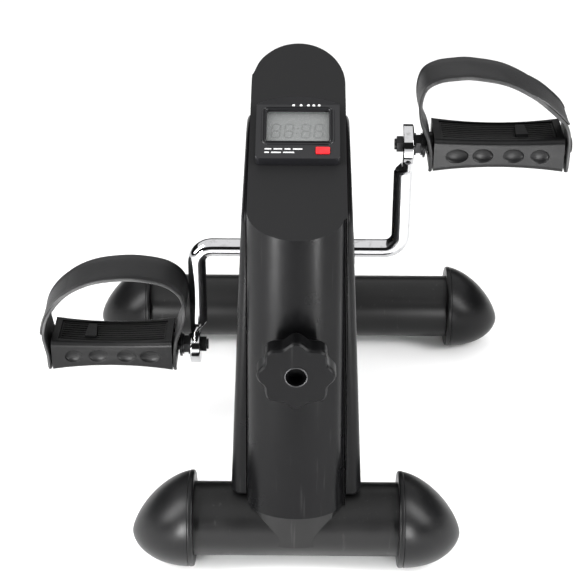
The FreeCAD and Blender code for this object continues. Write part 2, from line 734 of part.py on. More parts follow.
def pedal_cap():
    """Plug in the outer end of the pedal, with the peg for the strap."""
    plug = cyl_x(8.4, 183.0, PEDAL_OUT + 0.6, 0, 0)
    peg = cyl_x(4.0, PEDAL_OUT, 194.6, 0, 0)
    head = cyl_x(5.6, 193.9, 196.0, 0, 0)
    head = fillet_best(head, [head.Edges[0]], (0.8, 0.4))
    return plug.fuse([peg, head])


def spindle():
    shaft = cyl_x(SPINDLE_R, 91.0, 176.6, 0, 0)
    thread = cyl_x(3.0, 176.0, 181.6, 0, 0)
    collar_a = cyl_x(8.0, 82.8, 91.0, 0, 0)
    collar_b = cyl_x(9.6, 89.2, 90.6, 0, 0)
    stud = cyl_x(4.0, 69.0, 83.0, 0, 0)
    flats = hex_prism(13.0, vec(84.2, 0, 0), X_AXIS, 3.6)
    groove = collar_a.cut(cyl_x(9.0, 84.2, 87.8, 0, 0))
    return shaft.fuse([thread, groove, collar_b, stud, flats])


def spindle_nut():
    nut = hex_prism(11.0, vec(70.6, 0, 0), X_AXIS, 4.0)
    return nut.cut(cyl_x(4.05, 60, 90, 0, 0))


def end_nut():
    nut = hex_prism(10.0, vec(177.2, 0, 0), X_AXIS, 4.0)
    return nut.cut(cyl_x(3.05, 170, 190, 0, 0))


# centre line of each strap as (x, height above the spindle), from the inner to the outer tail
STRAP_RIGHT = [(94.2, -14), (94.2, 0), (92.0, 11), (87.0, 24), (85.4, 38), (88.6, 50), (97.5, 56),
               (110, 58.2), (122, 58.5), (144, 54.6), (162.5, 45.6), (175.4, 35.8), (187, 24.5),
               (190.9, 14.5), (191.4, 4), (191.2, -14)]
STRAP_LEFT = [(94.2, -14), (94.2, 0), (92.2, 14), (87.2, 28), (85.4, 42), (89, 54), (99.5, 62.6),
              (116, 66.6), (134, 67.2), (156, 63.4), (175, 53), (188.4, 36), (193.4, 20),
              (192.6, 9), (191.1, 0), (190.8, -14)]


def strap(line):
    """Rubber foot strap, an arch hooked on the pedal boss and on the outer peg."""
    centre = Part.BSplineCurve()
    centre.interpolate(Points=[vec(x, 0, z) for x, z in line])
    first = centre.FirstParameter
    span = centre.LastParameter - first
    sides = []
    steps = 48
    for offset in (-STRAP_T / 2, STRAP_T / 2):
        row = []
        for i in range(steps + 1):
            u = first + span * i / steps
            p = centre.value(u)
            t = vec(*centre.tangent(u)[0])
            row.append(p.add(vec(-t.z, 0, t.x) * offset))
        surface = Part.BSplineCurve()
        surface.interpolate(Points=row)
        sides.append((surface.toShape(), row))
    (edge_a, row_a), (edge_b, row_b) = sides
    wire = Part.Wire([edge_a, Part.makeLine(row_a[-1], row_b[-1]), edge_b,
                      Part.makeLine(row_b[0], row_a[0])])
    band = Part.Face(wire).extrude(vec(0, STRAP_W, 0))
    band.translate(vec(0, -STRAP_W / 2, 0))
    band = band.cut(cyl_x(BOSS_R + 0.35, 80, 110, 0, 0))
    return band.cut(cyl_x(4.35, 180, 200, 0, 0))


def place_pedal_parts(shape, side):
    out = shape.copy()
    if side < 0:
        out = mirrored(out)
    out.translate(vec(0, AXLE_Y, AXLE_Z + side * CRANK_LEN))
    return out


PEDAL_NODES = [("pedal", pedal_body()), ("treads", pedal_treads()),
               ("pedal_bushes", pedal_bushes()), ("pedal_cap", pedal_cap()),
               ("spindle", spindle()), ("spindle_nut", spindle_nut()),
               ("end_nut", end_nut())]
for name, shape in PEDAL_NODES:
    export(place_pedal_parts(shape, 1), name + "_right")
    export(place_pedal_parts(shape, -1), name + "_left")
export(place_pedal_parts(strap(STRAP_RIGHT), 1), "strap_right")
export(place_pedal_parts(strap(STRAP_LEFT), -1), "strap_left")

# ---------------------------------------------------------------- console (drawn flat on the
# facet: X across, Y up the slope, Z out of the facet)
WINDOW_W = 41.8
WINDOW_H = 27.3
WINDOW_V = 2.7
BROW_V = 34.0            # top of the arched brow above the window


def console_case():
    half = CONSOLE_W / 2
    shoulder = CONSOLE_H / 2 - 4
    case = rounded_plate(CONSOLE_W, CONSOLE_H - 8, 0.2, CONSOLE_T, 3.2, 0, -4)
    case = case.fuse(box(-half, 0, 0.2, half, shoulder, CONSOLE_T))
    arch = Part.Arc(vec(-half, shoulder, 0.2), vec(0, BROW_V, 0.2),
                    vec(half, shoulder, 0.2)).toShape()
    chord = Part.makeLine(vec(half, shoulder, 0.2), vec(-half, shoulder, 0.2))
    brow = Part.Face(Part.Wire([arch, chord])).extrude(vec(0, 0, CONSOLE_T - 0.2))
    case = case.fuse(brow).removeSplitter()
    ramp = [(shoulder - 1, CONSOLE_T, 0), (BROW_V + 1, 0.9, 0), (BROW_V + 1, 12, 0),
            (shoulder - 1, 12, 0)]
    case = case.cut(prism_x(ramp, -60, 60))
    rim = []
    for edge in case.Edges:
        middle = edge.valueAt((edge.FirstParameter + edge.LastParameter) / 2)
        if middle.z > CONSOLE_T - 0.01 and middle.y < shoulder - 2:
            rim.append(edge)
    case = fillet_best(case, rim, (1.2, 0.8, 0.5))
    case = case.fuse(rounded_plate(50.0, 46.0, -14.0, 0.5, 2.6))
    case = case.cut(box(-23, -21, -20, 23, 21, CONSOLE_T - 2.0))
    case = case.cut(rounded_plate(WINDOW_W, WINDOW_H, 0, 20, 1.2, 0, WINDOW_V))
    return case.cut(rounded_plate(9.9, 6.1, 0, 20, 0.8, BUTTON_X, BUTTON_V))


def lens():
    flat = rounded_plate(WINDOW_W + 2, WINDOW_H + 2, CONSOLE_T - 3.6, CONSOLE_T - 2.1, 1.0, 0,
                         WINDOW_V)
    return flat.fuse(rounded_plate(WINDOW_W - 0.4, WINDOW_H - 0.4, CONSOLE_T - 2.6,
                                   CONSOLE_T - 1.2, 1.0, 0, WINDOW_V))


def reset_button():
    stem = rounded_plate(9.4, 5.6, 2.5, CONSOLE_T + 1.3, 0.8, BUTTON_X, BUTTON_V)
    top = [e for e in stem.Edges if e.BoundBox.ZMin > CONSOLE_T + 1.2]
    stem = fillet_best(stem, top, (0.6, 0.3))
    foot = box(BUTTON_X - 5.9, BUTTON_V - 0.6, 2.5, BUTTON_X + 5.9, BUTTON_V + 4.1, 3.9)
    return stem.fuse(foot)


def circuit_board():
    board = box(-22, -20.6, -1.2, 22, 20.6, 0.4)
    pins = box(-17, -15.6, 0.3, 17, -13.0, 1.2)
    switch = cyl_z(2.2, 0.3, 1.3, BUTTON_X, BUTTON_V + 1.2)
    return board.fuse([pins, switch])


export(on_facet(console_case()), "console_case")
export(on_facet(lens()), "console_lens")
export(on_facet(box(-21.6, WINDOW_V - 14.4, 0.9, 21.6, WINDOW_V + 14.4, 3.2)), "lcd_panel")
export(on_facet(circuit_board()), "circuit_board")
export(on_facet(reset_button()), "reset_button")
battery = cyl_x(5.2, -21.6, 21.6, -4.0, -7.2).fuse(cyl_x(1.9, 21.0, 22.6, -4.0, -7.2))
export(on_facet(battery), "battery")
export(on_facet(box(-22.8, -20.8, -14.0, 22.8, 20.8, -12.6)), "battery_door")
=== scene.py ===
import bpy
import bmesh
import math
from mathutils import Matrix, Vector


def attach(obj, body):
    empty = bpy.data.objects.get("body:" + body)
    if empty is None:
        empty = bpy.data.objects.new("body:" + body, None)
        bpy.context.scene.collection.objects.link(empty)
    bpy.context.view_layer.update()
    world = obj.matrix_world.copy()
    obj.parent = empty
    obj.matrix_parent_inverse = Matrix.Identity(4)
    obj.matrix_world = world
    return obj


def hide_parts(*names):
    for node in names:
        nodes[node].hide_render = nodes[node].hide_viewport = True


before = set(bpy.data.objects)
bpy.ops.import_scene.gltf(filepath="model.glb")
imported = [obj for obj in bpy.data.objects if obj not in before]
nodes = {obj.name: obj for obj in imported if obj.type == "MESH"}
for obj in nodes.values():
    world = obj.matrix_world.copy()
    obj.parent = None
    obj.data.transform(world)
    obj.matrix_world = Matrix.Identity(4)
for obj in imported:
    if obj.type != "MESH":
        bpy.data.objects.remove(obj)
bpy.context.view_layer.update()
scene = bpy.context.scene
scene.view_settings.view_transform = "Standard"

MM = 0.001
AXLE_Y = -0.021
AXLE_Z = 0.195
CRANK_LEN = 0.086
FACET = math.radians(22.6)
FACET_POINT = Vector((0.0, -0.089, 0.285 + math.tan(FACET) * 0.0832))
TAU = 2.0 * math.pi

# radiance of the world: dark walls, a paler ceiling, and the backdrop that the camera sees
WALLS = 0.02
CEILING = 0.10
BACKDROP = 0.6


# ------------------------------------------------------------------ camera, floor, light
def link(obj):
    scene.collection.objects.link(obj)
    return obj


def make_camera(position, pitch_deg, yaw_deg, lens):
    data = bpy.data.cameras.new("camera")
    cam = link(bpy.data.objects.new("camera", data))
    data.sensor_width = 36.0
    data.lens = lens
    data.clip_start = 0.05
    data.clip_end = 50.0
    cam.location = position
    cam.rotation_euler = (math.radians(90.0 - pitch_deg), 0.0, math.radians(-yaw_deg))
    scene.camera = cam


# the photograph's viewpoint: position, pitch and yaw in degrees, lens in millimetres
make_camera((0.0057, -1.0624, 0.7825), 30.86, -0.746, 100.17)


def flat_panel(name, corners):
    """A four-cornered studio panel that is not part of the object."""
    mesh = bpy.data.meshes.new(name)
    mesh.from_pydata(corners, [], [(0, 1, 2, 3)])
    obj = link(bpy.data.objects.new(name, mesh))
    return obj


floor = flat_panel("floor", [(-6, -6, 0), (6, -6, 0), (6, 6, 0), (-6, 6, 0)])


def area_light(name, position, target, width, height, power):
    """A soft box aimed at target; it lights the object but isn't seen by the camera."""
    data = bpy.data.lights.new(name, "AREA")
    data.energy = power
    data.shape = "RECTANGLE"
    data.size = width
    data.size_y = height
    obj = link(bpy.data.objects.new(name, data))
    obj.location = position
    aim = Vector(target) - Vector(position)
    obj.rotation_euler = aim.to_track_quat("-Z", "Y").to_euler()
    obj.visible_camera = False
    return obj


area_light("side_left", (-0.80, -0.40, 0.55), (-0.45, -0.30, 0), 0.36, 0.80, 13)
area_light("side_right", (0.80, -0.40, 0.55), (0.45, -0.30, 0), 0.32, 0.80, 10)
area_light("strip_left", (-0.30, -0.55, 0.11), (0, -0.14, 0.20), 0.07, 0.18, 3.6)
area_light("strip_right", (0.28, -0.57, 0.11), (0, -0.14, 0.20), 0.06, 0.18, 2.6)
area_light("ceiling", (0.0, 0.6, 4.0), (0, 0.6, 0), 12.0, 12.0, 560)


def studio_world():
    """Pale ceiling over dark walls, so that plated parts have something dark to show."""
    world = bpy.data.worlds.new("studio")
    scene.world = world
    world.use_nodes = True
    tree = world.node_tree
    split = tree.nodes.new("ShaderNodeSeparateXYZ")
    tree.links.new(tree.nodes.new("ShaderNodeTexCoord").outputs["Generated"], split.inputs[0])
    rise = tree.nodes.new("ShaderNodeMapRange")
    rise.interpolation_type = "SMOOTHSTEP"
    tree.links.new(split.outputs["Z"], rise.inputs["Value"])
    rise.inputs["From Min"].default_value = 0.42
    rise.inputs["From Max"].default_value = 0.72
    rise.inputs["To Min"].default_value = WALLS
    rise.inputs["To Max"].default_value = CEILING
    seen = tree.nodes.new("ShaderNodeMix")
    tree.links.new(tree.nodes.new("ShaderNodeLightPath").outputs["Is Camera Ray"],
                   seen.inputs["Factor"])
    tree.links.new(rise.outputs["Result"], seen.inputs["A"])
    seen.inputs["B"].default_value = BACKDROP
    tree.nodes["Background"].inputs["Color"].default_value = (1.0, 1.0, 1.0, 1.0)
    tree.links.new(seen.outputs["Result"], tree.nodes["Background"].inputs["Strength"])


studio_world()


# ------------------------------------------------------------------ materials
class Mat:
    """A Principled material with procedural colour, roughness and bump built from noise."""

    def __init__(self, name, color, rough, metallic=0.0, specular=0.5):
        self.mat = bpy.data.materials.new(name)
        self.mat.use_nodes = True
        self.tree = self.mat.node_tree
        self.bsdf = self.tree.nodes["Principled BSDF"]
        self.bsdf.inputs["Base Color"].default_value = (*color, 1)
        self.bsdf.inputs["Roughness"].default_value = rough
        self.bsdf.inputs["Metallic"].default_value = metallic
        self.bsdf.inputs["Specular IOR Level"].default_value = specular
        self.color = color
        self.rough = rough
        self.coords = self.node("ShaderNodeTexCoord").outputs["Object"]
        self.height = None

    def node(self, kind, **settings):
        made = self.tree.nodes.new(kind)
        for key, value in settings.items():
            setattr(made, key, value)
        return made

    def feed(self, target, value):
        if hasattr(value, "is_output"):
            self.tree.links.new(value, target)
        else:
            target.default_value = value

    def math(self, operation, a, b=0.0, clamp=False):
        made = self.node("ShaderNodeMath", operation=operation, use_clamp=clamp)
        self.feed(made.inputs[0], a)
        self.feed(made.inputs[1], b)
        return made.outputs[0]

    def spread(self, value, low, high):
        """0 at low, 1 at high, clamped."""
        made = self.node("ShaderNodeMapRange")
        self.feed(made.inputs["Value"], value)
        made.inputs["From Min"].default_value = low
        made.inputs["From Max"].default_value = high
        return made.outputs["Result"]

    def noise(self, scale, detail=2.0, stretch=(1, 1, 1), coords=None):
        place = self.node("ShaderNodeMapping")
        self.tree.links.new(coords or self.coords, place.inputs["Vector"])
        place.inputs["Scale"].default_value = stretch
        made = self.node("ShaderNodeTexNoise")
        self.tree.links.new(place.outputs["Vector"], made.inputs["Vector"])
        made.inputs["Scale"].default_value = scale
        made.inputs["Detail"].default_value = detail
        return made.outputs["Fac"]

    def grains(self, scale, coords=None):
        made = self.node("ShaderNodeTexVoronoi")
        self.tree.links.new(coords or self.coords, made.inputs["Vector"])
        made.inputs["Scale"].default_value = scale
        return made.outputs["Distance"]

    def mix(self, share, first, second):
        made = self.node("ShaderNodeMix", data_type="RGBA")
        self.feed(made.inputs["Factor"], share)
        for socket, value in ((made.inputs["A"], first), (made.inputs["B"], second)):
            self.feed(socket, value if hasattr(value, "is_output") else (*value, 1))
        return made.outputs["Result"]

    def vary_color(self, share, second):
        """Blend the colour so far towards second by share."""
        socket = self.bsdf.inputs["Base Color"]
        first = socket.links[0].from_socket if socket.links else self.color
        self.tree.links.new(self.mix(share, first, second), socket)
        return self

    def vary_rough(self, value, amount):
        """Add (value - 0.5) * amount to the roughness so far."""
        socket = self.bsdf.inputs["Roughness"]
        base = socket.links[0].from_socket if socket.links else self.rough
        shift = self.math("MULTIPLY", self.math("SUBTRACT", value, 0.5), amount)
        self.tree.links.new(self.math("ADD", base, shift, clamp=True), socket)
        return self

    def add_height(self, value, amount):
        """Pile another relief, amount metres deep, on the bump."""
        part = self.math("MULTIPLY", value, amount)
        self.height = part if self.height is None else self.math("ADD", self.height, part)
        return self

    def done(self, strength=1.0):
        if self.height is not None:
            bump = self.node("ShaderNodeBump")
            bump.inputs["Strength"].default_value = strength
            bump.inputs["Distance"].default_value = 1.0
            self.tree.links.new(self.height, bump.inputs["Height"])
            self.tree.links.new(bump.outputs["Normal"], self.bsdf.inputs["Normal"])
        return self.mat


def scratches(m, scale=420.0):
    """Share of thin upright hairlines: stretched noise with a sharp threshold."""
    lines = m.noise(scale, 2.0, (1.0, 1.0, 0.05))
    return m.spread(lines, 0.66, 0.74)


NEAR_BLACK = (0.0020, 0.0020, 0.0022)
FINE_GRAIN = 0.00002        # depth of the finest moulded texture, metres


def moulded_black(name, color, rough, grain, depth, specular=0.30):
    """Black moulding: uneven tone, hairlines, and a grain of the given scale and depth."""
    m = Mat(name, color, rough, specular=specular)
    m.vary_color(m.spread(m.noise(14.0, 3.0), 0.35, 0.7), tuple(c * 1.5 for c in color))
    m.vary_color(m.math("MULTIPLY", scratches(m), 0.10), (0.06, 0.06, 0.06))
    m.vary_rough(m.noise(35.0, 4.0), 0.16)
    m.add_height(m.grains(grain), depth)
    m.add_height(m.noise(grain * 0.6, 2.0), depth * 0.6)
    return m


def body_plastic():
    """Satin shells and cover; the sloping facet is textured and flatter."""
    m = moulded_black("body_plastic", NEAR_BLACK, 0.30, 1500.0, FINE_GRAIN, 0.09)
    coords = m.node("ShaderNodeTexCoord").outputs["Normal"]
    facing = m.node("ShaderNodeVectorMath", operation="DOT_PRODUCT")
    m.tree.links.new(coords, facing.inputs[0])
    facing.inputs[1].default_value = (0.0, -math.sin(FACET), math.cos(FACET))
    flat = m.spread(facing.outputs["Value"], 0.985, 0.997)
    m.vary_color(flat, (0.013, 0.013, 0.0135))
    m.vary_rough(m.math("ADD", m.math("MULTIPLY", flat, 1.0), 0.5), 0.24)
    return m.done(0.5)


def shell_plastic():
    return moulded_black("shell_plastic", NEAR_BLACK, 0.30, 1300.0, FINE_GRAIN, 0.10).done(0.5)


def cap_plastic():
    m = moulded_black("cap_plastic", NEAR_BLACK, 0.34, 1100.0, 0.00003, 0.18)
    low = m.node("ShaderNodeSeparateXYZ")
    m.tree.links.new(m.coords, low.inputs[0])
    dust = m.spread(low.outputs["Z"], 0.012, 0.0)
    m.vary_color(m.math("MULTIPLY", dust, m.spread(m.noise(220.0, 4.0), 0.4, 0.7)),
                 (0.10, 0.10, 0.095))
    return m.done(0.55)


def knob_plastic():
    m = moulded_black("knob_plastic", (0.0018, 0.0018, 0.0020), 0.34, 1400.0, 0.00003, 0.10)
    return m.done(0.5)


def console_plastic():
    m = moulded_black("console_plastic", (0.007, 0.007, 0.008), 0.30, 1600.0, FINE_GRAIN)
    return m.done(0.5)


def pedal_plastic():
    m = moulded_black("pedal_plastic", (0.0035, 0.0035, 0.0037), 0.36, 900.0, 0.00005, 0.18)
    wear_and_painted_highlight = m.math("MULTIPLY", m.spread(m.noise(120.0, 5.0, (0.15, 1, 1)), 0.52, 0.68), 0.35)
    m.vary_color(wear_and_painted_highlight, (0.022, 0.022, 0.022))
    return m.done(0.6)


def tread_rubber():
    m = Mat("tread_rubber", (0.0035, 0.0035, 0.0035), 0.60, specular=0.22)
    m.vary_color(m.spread(m.noise(90.0, 5.0, (0.12, 1, 1)), 0.4, 0.7), (0.010, 0.010, 0.010))
    m.vary_rough(m.noise(200.0, 3.0), 0.2)
    m.add_height(m.noise(900.0, 3.0, (0.1, 1, 1)), 0.00012)
    return m.done(0.7)


def painted_steel():
    m = Mat("painted_steel", (0.0018, 0.0018, 0.0019), 0.36, specular=0.26)
    m.vary_color(m.spread(m.noise(20.0, 4.0), 0.4, 0.75), (0.0035, 0.0035, 0.0035))
    m.vary_color(m.math("MULTIPLY", scratches(m, 300.0), 0.12), (0.08, 0.08, 0.08))
    m.vary_rough(m.noise(50.0, 4.0), 0.18)
    m.add_height(m.noise(420.0, 2.0), 0.00005)
    return m.done(0.5)


def chrome():
    m = Mat("chrome", (0.50, 0.50, 0.51), 0.05, metallic=1.0)
    m.vary_color(m.spread(m.noise(160.0, 5.0), 0.55, 0.8), (0.32, 0.315, 0.31))
    m.vary_rough(m.noise(90.0, 5.0), 0.10)
    m.add_height(m.noise(240.0, 3.0), 0.00003)
    return m.done(0.35)


def bare_metal(name, color, rough, grain=500.0):
    m = Mat(name, color, rough, metallic=1.0)
    m.vary_color(m.spread(m.noise(110.0, 5.0), 0.4, 0.75), tuple(c * 0.6 for c in color))
    m.vary_rough(m.noise(260.0, 4.0), 0.25)
    m.add_height(m.noise(grain, 3.0, (1, 0.2, 1)), 0.00004)
    return m.done(0.5)


def strap_rubber():
    """Soft black rubber with fine lengthwise lines and paler edges: a painted edge highlight, broken
    up with noise.
    """
    m = Mat("strap_rubber", (0.011, 0.011, 0.0115), 0.50, specular=0.30)
    lay = m.node("ShaderNodeUVMap", uv_map="lay").outputs["UV"]
    split = m.node("ShaderNodeSeparateXYZ")
    m.tree.links.new(lay, split.inputs[0])
    edge = m.math("ABSOLUTE", m.math("SUBTRACT", split.outputs["X"], 0.5))
    # painted edge highlight: a paler band along both edges of the strap, made patchy with noise and
    # mixed into the colour below
    wear_and_painted_highlight = m.math("MULTIPLY", m.spread(edge, 0.455, 0.49), m.spread(m.noise(70.0, 4.0), 0.3, 0.6))
    m.vary_color(m.spread(m.noise(30.0, 4.0), 0.35, 0.7), (0.017, 0.017, 0.0175))
    m.vary_color(m.math("MULTIPLY", wear_and_painted_highlight, 0.5), (0.09, 0.09, 0.09))
    m.vary_rough(m.noise(60.0, 5.0), 0.2)
    m.add_height(m.noise(46.0, 3.0, (3.0, 0.12, 1.0), lay), 0.00016)
    m.add_height(m.noise(1400.0, 2.0), 0.00003)
    return m.done(0.6)


def lcd_glass():
    m = Mat("lcd_glass", (0.066, 0.069, 0.067), 0.42, specular=0.5)
    m.vary_color(m.spread(m.noise(60.0, 2.0), 0.3, 0.7), (0.076, 0.079, 0.077))
    m.vary_rough(m.noise(300.0, 2.0), 0.1)
    m.add_height(m.noise(700.0, 2.0), 0.00001)
    return m.done(0.3)


def lcd_ink():
    m = Mat("lcd_ink", (0.026, 0.027, 0.026), 0.45)
    m.vary_color(m.noise(90.0, 2.0), (0.032, 0.033, 0.032))
    return m.done()


def window_clear():
    m = Mat("window_clear", (0.9, 0.93, 0.93), 0.04)
    m.bsdf.inputs["Alpha"].default_value = 0.06
    m.vary_rough(m.noise(150.0, 4.0), 0.06)
    return m.done()


def button_red():
    m = Mat("button_red", (0.60, 0.014, 0.020), 0.34, specular=0.25)
    m.vary_color(m.spread(m.noise(260.0, 3.0), 0.4, 0.7), (0.68, 0.026, 0.032))
    m.vary_rough(m.noise(300.0, 3.0), 0.14)
    m.add_height(m.noise(1500.0, 2.0), 0.00002)
    return m.done(0.5)


def mark_white():
    m = Mat("mark_white", (0.72, 0.72, 0.72), 0.55)
    m.vary_color(m.spread(m.noise(900.0, 3.0), 0.45, 0.7), (0.5, 0.5, 0.5))
    return m.done()


def matte(name, color, rough, grain, depth):
    m = Mat(name, color, rough)
    m.vary_color(m.spread(m.noise(140.0, 4.0), 0.35, 0.7), tuple(c * 0.72 for c in color))
    m.vary_rough(m.noise(180.0, 3.0), 0.15)
    m.add_height(m.noise(grain, 3.0), depth)
    return m.done(0.5)


def woven_web():
    m = Mat("woven_web", (0.16, 0.13, 0.10), 0.85)
    wave = m.node("ShaderNodeTexWave", bands_direction="X")
    m.tree.links.new(m.coords, wave.inputs["Vector"])
    wave.inputs["Scale"].default_value = 420.0
    m.vary_color(wave.outputs["Fac"], (0.09, 0.075, 0.06))
    m.add_height(wave.outputs["Fac"], 0.0002)
    return m.done()


def studio_white():
    m = Mat("studio_white", (0.93, 0.93, 0.93), 0.95, specular=0.1)
    m.vary_color(m.spread(m.noise(3.0, 2.0), 0.3, 0.7), (0.95, 0.95, 0.95))
    return m.done()


floor.data.materials.append(studio_white())

paint = painted_steel()
body = body_plastic()
shell = shell_plastic()
cap = cap_plastic()
pedal_mat = pedal_plastic()
tread = tread_rubber()
zinc = bare_metal("zinc_steel", (0.60, 0.60, 0.62), 0.35)
oxide = bare_metal("black_steel", (0.03, 0.03, 0.031), 0.36)
ring_steel = bare_metal("ring_steel", (0.07, 0.07, 0.072), 0.34)
brass = bare_metal("insert_brass", (0.72, 0.56, 0.28), 0.32)
bronze = bare_metal("bush_bronze", (0.50, 0.36, 0.22), 0.48)
nylon = matte("bush_nylon", (0.78, 0.76, 0.70), 0.5, 600.0, 0.00003)
knob_mat = knob_plastic()
console_mat = console_plastic()
rubber = strap_rubber()
ghost = lcd_ink()
marks = mark_white()

NODE_MATERIALS = {
    "main_frame": paint, "front_leg_tube": paint, "rear_leg_tube": paint,
    "cap_front_left": cap, "cap_front_right": cap, "cap_rear_left": cap, "cap_rear_right": cap,
    "front_cover": body, "shell_left": shell, "shell_right": shell,
    "leg_bolts": zinc, "leg_nuts": zinc, "housing_screws": oxide,
    "bearing_left": bronze, "bearing_right": bronze, "axle_collars": zinc,
    "reed_sensor": matte("sensor_plastic", (0.6, 0.6, 0.58), 0.5, 700.0, 0.00003),
    "rod_guide": nylon, "rod_spring": zinc, "tension_rod": zinc, "belt_yoke": zinc,
    "friction_drum": bare_metal("drum_iron", (0.32, 0.32, 0.33), 0.5),
    "speed_magnet": zinc, "brake_belt": woven_web(),
    "console_case": console_mat, "battery_door": console_mat,
    "console_lens": window_clear(), "lcd_panel": lcd_glass(),
    "circuit_board": matte("board_green", (0.05, 0.22, 0.10), 0.45, 800.0, 0.00003),
    "battery": matte("battery_wrap", (0.70, 0.50, 0.20), 0.35, 500.0, 0.00002),
    "reset_button": button_red(), "crank": chrome(),
    "tension_knob": knob_mat, "knob_insert": brass,
}
for side in ("left", "right"):
    NODE_MATERIALS.update({
        "pedal_" + side: pedal_mat, "pedal_cap_" + side: pedal_mat, "treads_" + side: tread,
        "pedal_bushes_" + side: nylon, "spindle_" + side: oxide, "spindle_nut_" + side: oxide,
        "end_nut_" + side: zinc, "strap_" + side: rubber,
    })
for name, obj in nodes.items():
    obj.data.materials.clear()
    obj.data.materials.append(NODE_MATERIALS[name])


# ------------------------------------------------------------------ mesh helpers
def new_piece(name, verts, faces, material, sharp=35.0, uvs=None):
    mesh = bpy.data.meshes.new(name)
    mesh.from_pydata([tuple(v) for v in verts], [], faces)
    mesh.validate()
    if uvs:
        layer = mesh.uv_layers.new(name="lay")
        for loop in mesh.loops:
            layer.data[loop.index].uv = uvs[loop.vertex_index]
    bm = bmesh.new()
    bm.from_mesh(mesh)
    bmesh.ops.recalc_face_normals(bm, faces=bm.faces)
    bm.to_mesh(mesh)
    bm.free()
    mesh.shade_smooth()
    mesh.set_sharp_from_angle(angle=math.radians(sharp))
    mesh.materials.append(material)
    return link(bpy.data.objects.new(name, mesh))


def skin(rings, closed_path=False):
    """Faces between rings of equal size, with the two ends capped when the path is open."""
    count = len(rings[0])
    verts = [p for ring in rings for p in ring]
    faces = []
    spans = len(rings) if closed_path else len(rings) - 1
    for i in range(spans):
        j = (i + 1) % len(rings)
        for k in range(count):
            n = (k + 1) % count
            faces.append((i * count + k, i * count + n, j * count + n, j * count + k))
    if not closed_path:
        faces.append(tuple(range(count - 1, -1, -1)))
        last = (len(rings) - 1) * count
        faces.append(tuple(range(last, last + count)))
    return verts, faces


def catmull(points, steps):
    """Smooth curve through the points, steps samples for each span."""
    out = []
    ends = [points[0] * 2 - points[1]] + list(points) + [points[-1] * 2 - points[-2]]
    for i in range(1, len(ends) - 2):
        p0, p1, p2, p3 = ends[i - 1:i + 3]
        for s in range(steps):
            t = s / steps
            out.append(0.5 * ((2 * p1) + (p2 - p0) * t + (2 * p0 - 5 * p1 + 4 * p2 - p3) * t * t
                              + (3 * p1 - 3 * p2 + p3 - p0) * t ** 3))
    out.append(points[-1])
    return out


def cut_round(obj, x0, x1, radius):
    """Bore a round hole along X through a piece drawn about the spindle."""
    ring = []
    for x in (x0, x1):
        ring.append([Vector((x, radius * math.cos(TAU * k / 40), radius * math.sin(TAU * k / 40)))
                     for k in range(40)])
    verts, faces = skin(ring)
    cutter = new_piece("cutter", verts, faces, rubber)
    mod = obj.modifiers.new("hole", "BOOLEAN")
    mod.operation = "DIFFERENCE"
    mod.solver = "EXACT"
    mod.object = cutter
    bpy.context.view_layer.update()
    done = bpy.data.meshes.new_from_object(obj.evaluated_get(bpy.context.evaluated_depsgraph_get()))
    obj.modifiers.clear()
    obj.data = done
    bpy.data.objects.remove(cutter)


# ------------------------------------------------------------------ foot straps
STRAP_HALF = 19.0
STRAP_T = 2.5
STRAP_LINES = {
    "right": [(94.2, -14), (94.2, 0), (92.0, 11), (87.0, 24), (85.4, 38), (88.6, 50), (97.5, 56),
              (110, 58.2), (122, 58.5), (144, 54.6), (162.5, 45.6), (175.4, 35.8), (187, 24.5),
              (190.9, 14.5), (191.4, 4), (191.2, -14)],
    "left": [(94.2, -14), (94.2, 0), (92.2, 14), (87.2, 28), (85.4, 42), (89, 54), (99.5, 62.6),
             (116, 66.6), (134, 67.2), (156, 63.4), (175, 53), (188.4, 36), (193.4, 20),
             (192.6, 9), (191.1, 0), (190.8, -14)],
}


def strap_section(half, thick):
    """Band section as (across, out): rounded edges with a low bead along each."""
    b = thick / 2
    upper = [(half, b - 0.7), (half - 0.5, b - 0.1), (half - 1.4, b), (half - 2.4, b - 0.05),
             (half - 3.2, b - 0.45), (half - 8.0, b - 0.5)]
    upper = upper + [(-a, o) for a, o in reversed(upper)]
    lower = [(-half, 0.7 - b), (0.9 - half, -b), (half - 0.9, -b), (half, 0.7 - b)]
    return upper + lower


def strap_rings(line, half, thick, lift, first, last, tails=(True, True)):
    """Rings along the strap from share first to last; tails narrow and round off."""
    path = catmull([Vector((x, 0, z)) for x, z in line], 8)
    top = len(path) - 1
    rings = []
    lays = []
    lo = int(first * top)
    hi = int(last * top)
    for i in range(lo, hi + 1):
        ahead = path[min(i + 1, top)] - path[max(i - 1, 0)]
        ahead.normalize()
        out = Vector((-ahead.z, 0, ahead.x))
        share = (i - lo) / (hi - lo)
        narrow = 1.0
        if tails[0] and i - lo < 4:
            narrow = 1 - 0.16 * (1 - (i - lo) / 4) ** 2
        if tails[1] and hi - i < 4:
            narrow = 1 - 0.16 * (1 - (hi - i) / 4) ** 2
        ring = []
        lay = []
        ease = min(1.0, share / 0.6)
        level = lift[0] + (lift[1] - lift[0]) * ease * ease * (3 - 2 * ease)
        for across, rise in strap_section(half * narrow, thick):
            spot = path[i] + out * (rise + level)
            ring.append((spot + Vector((0, across, 0))) * MM)
            lay.append((0.5 + across / (2 * half), i * 0.02))
        rings.append(ring)
        lays.extend(lay)
    return rings, lays


def place_on_pedal(obj, side):
    sign = 1 if side == "right" else -1
    flip = Matrix.Diagonal((sign, 1, 1, 1))
    move = Matrix.Translation((0, AXLE_Y, AXLE_Z + sign * CRANK_LEN))
    obj.data.transform(move @ flip)
    if sign < 0:
        obj.data.flip_normals()


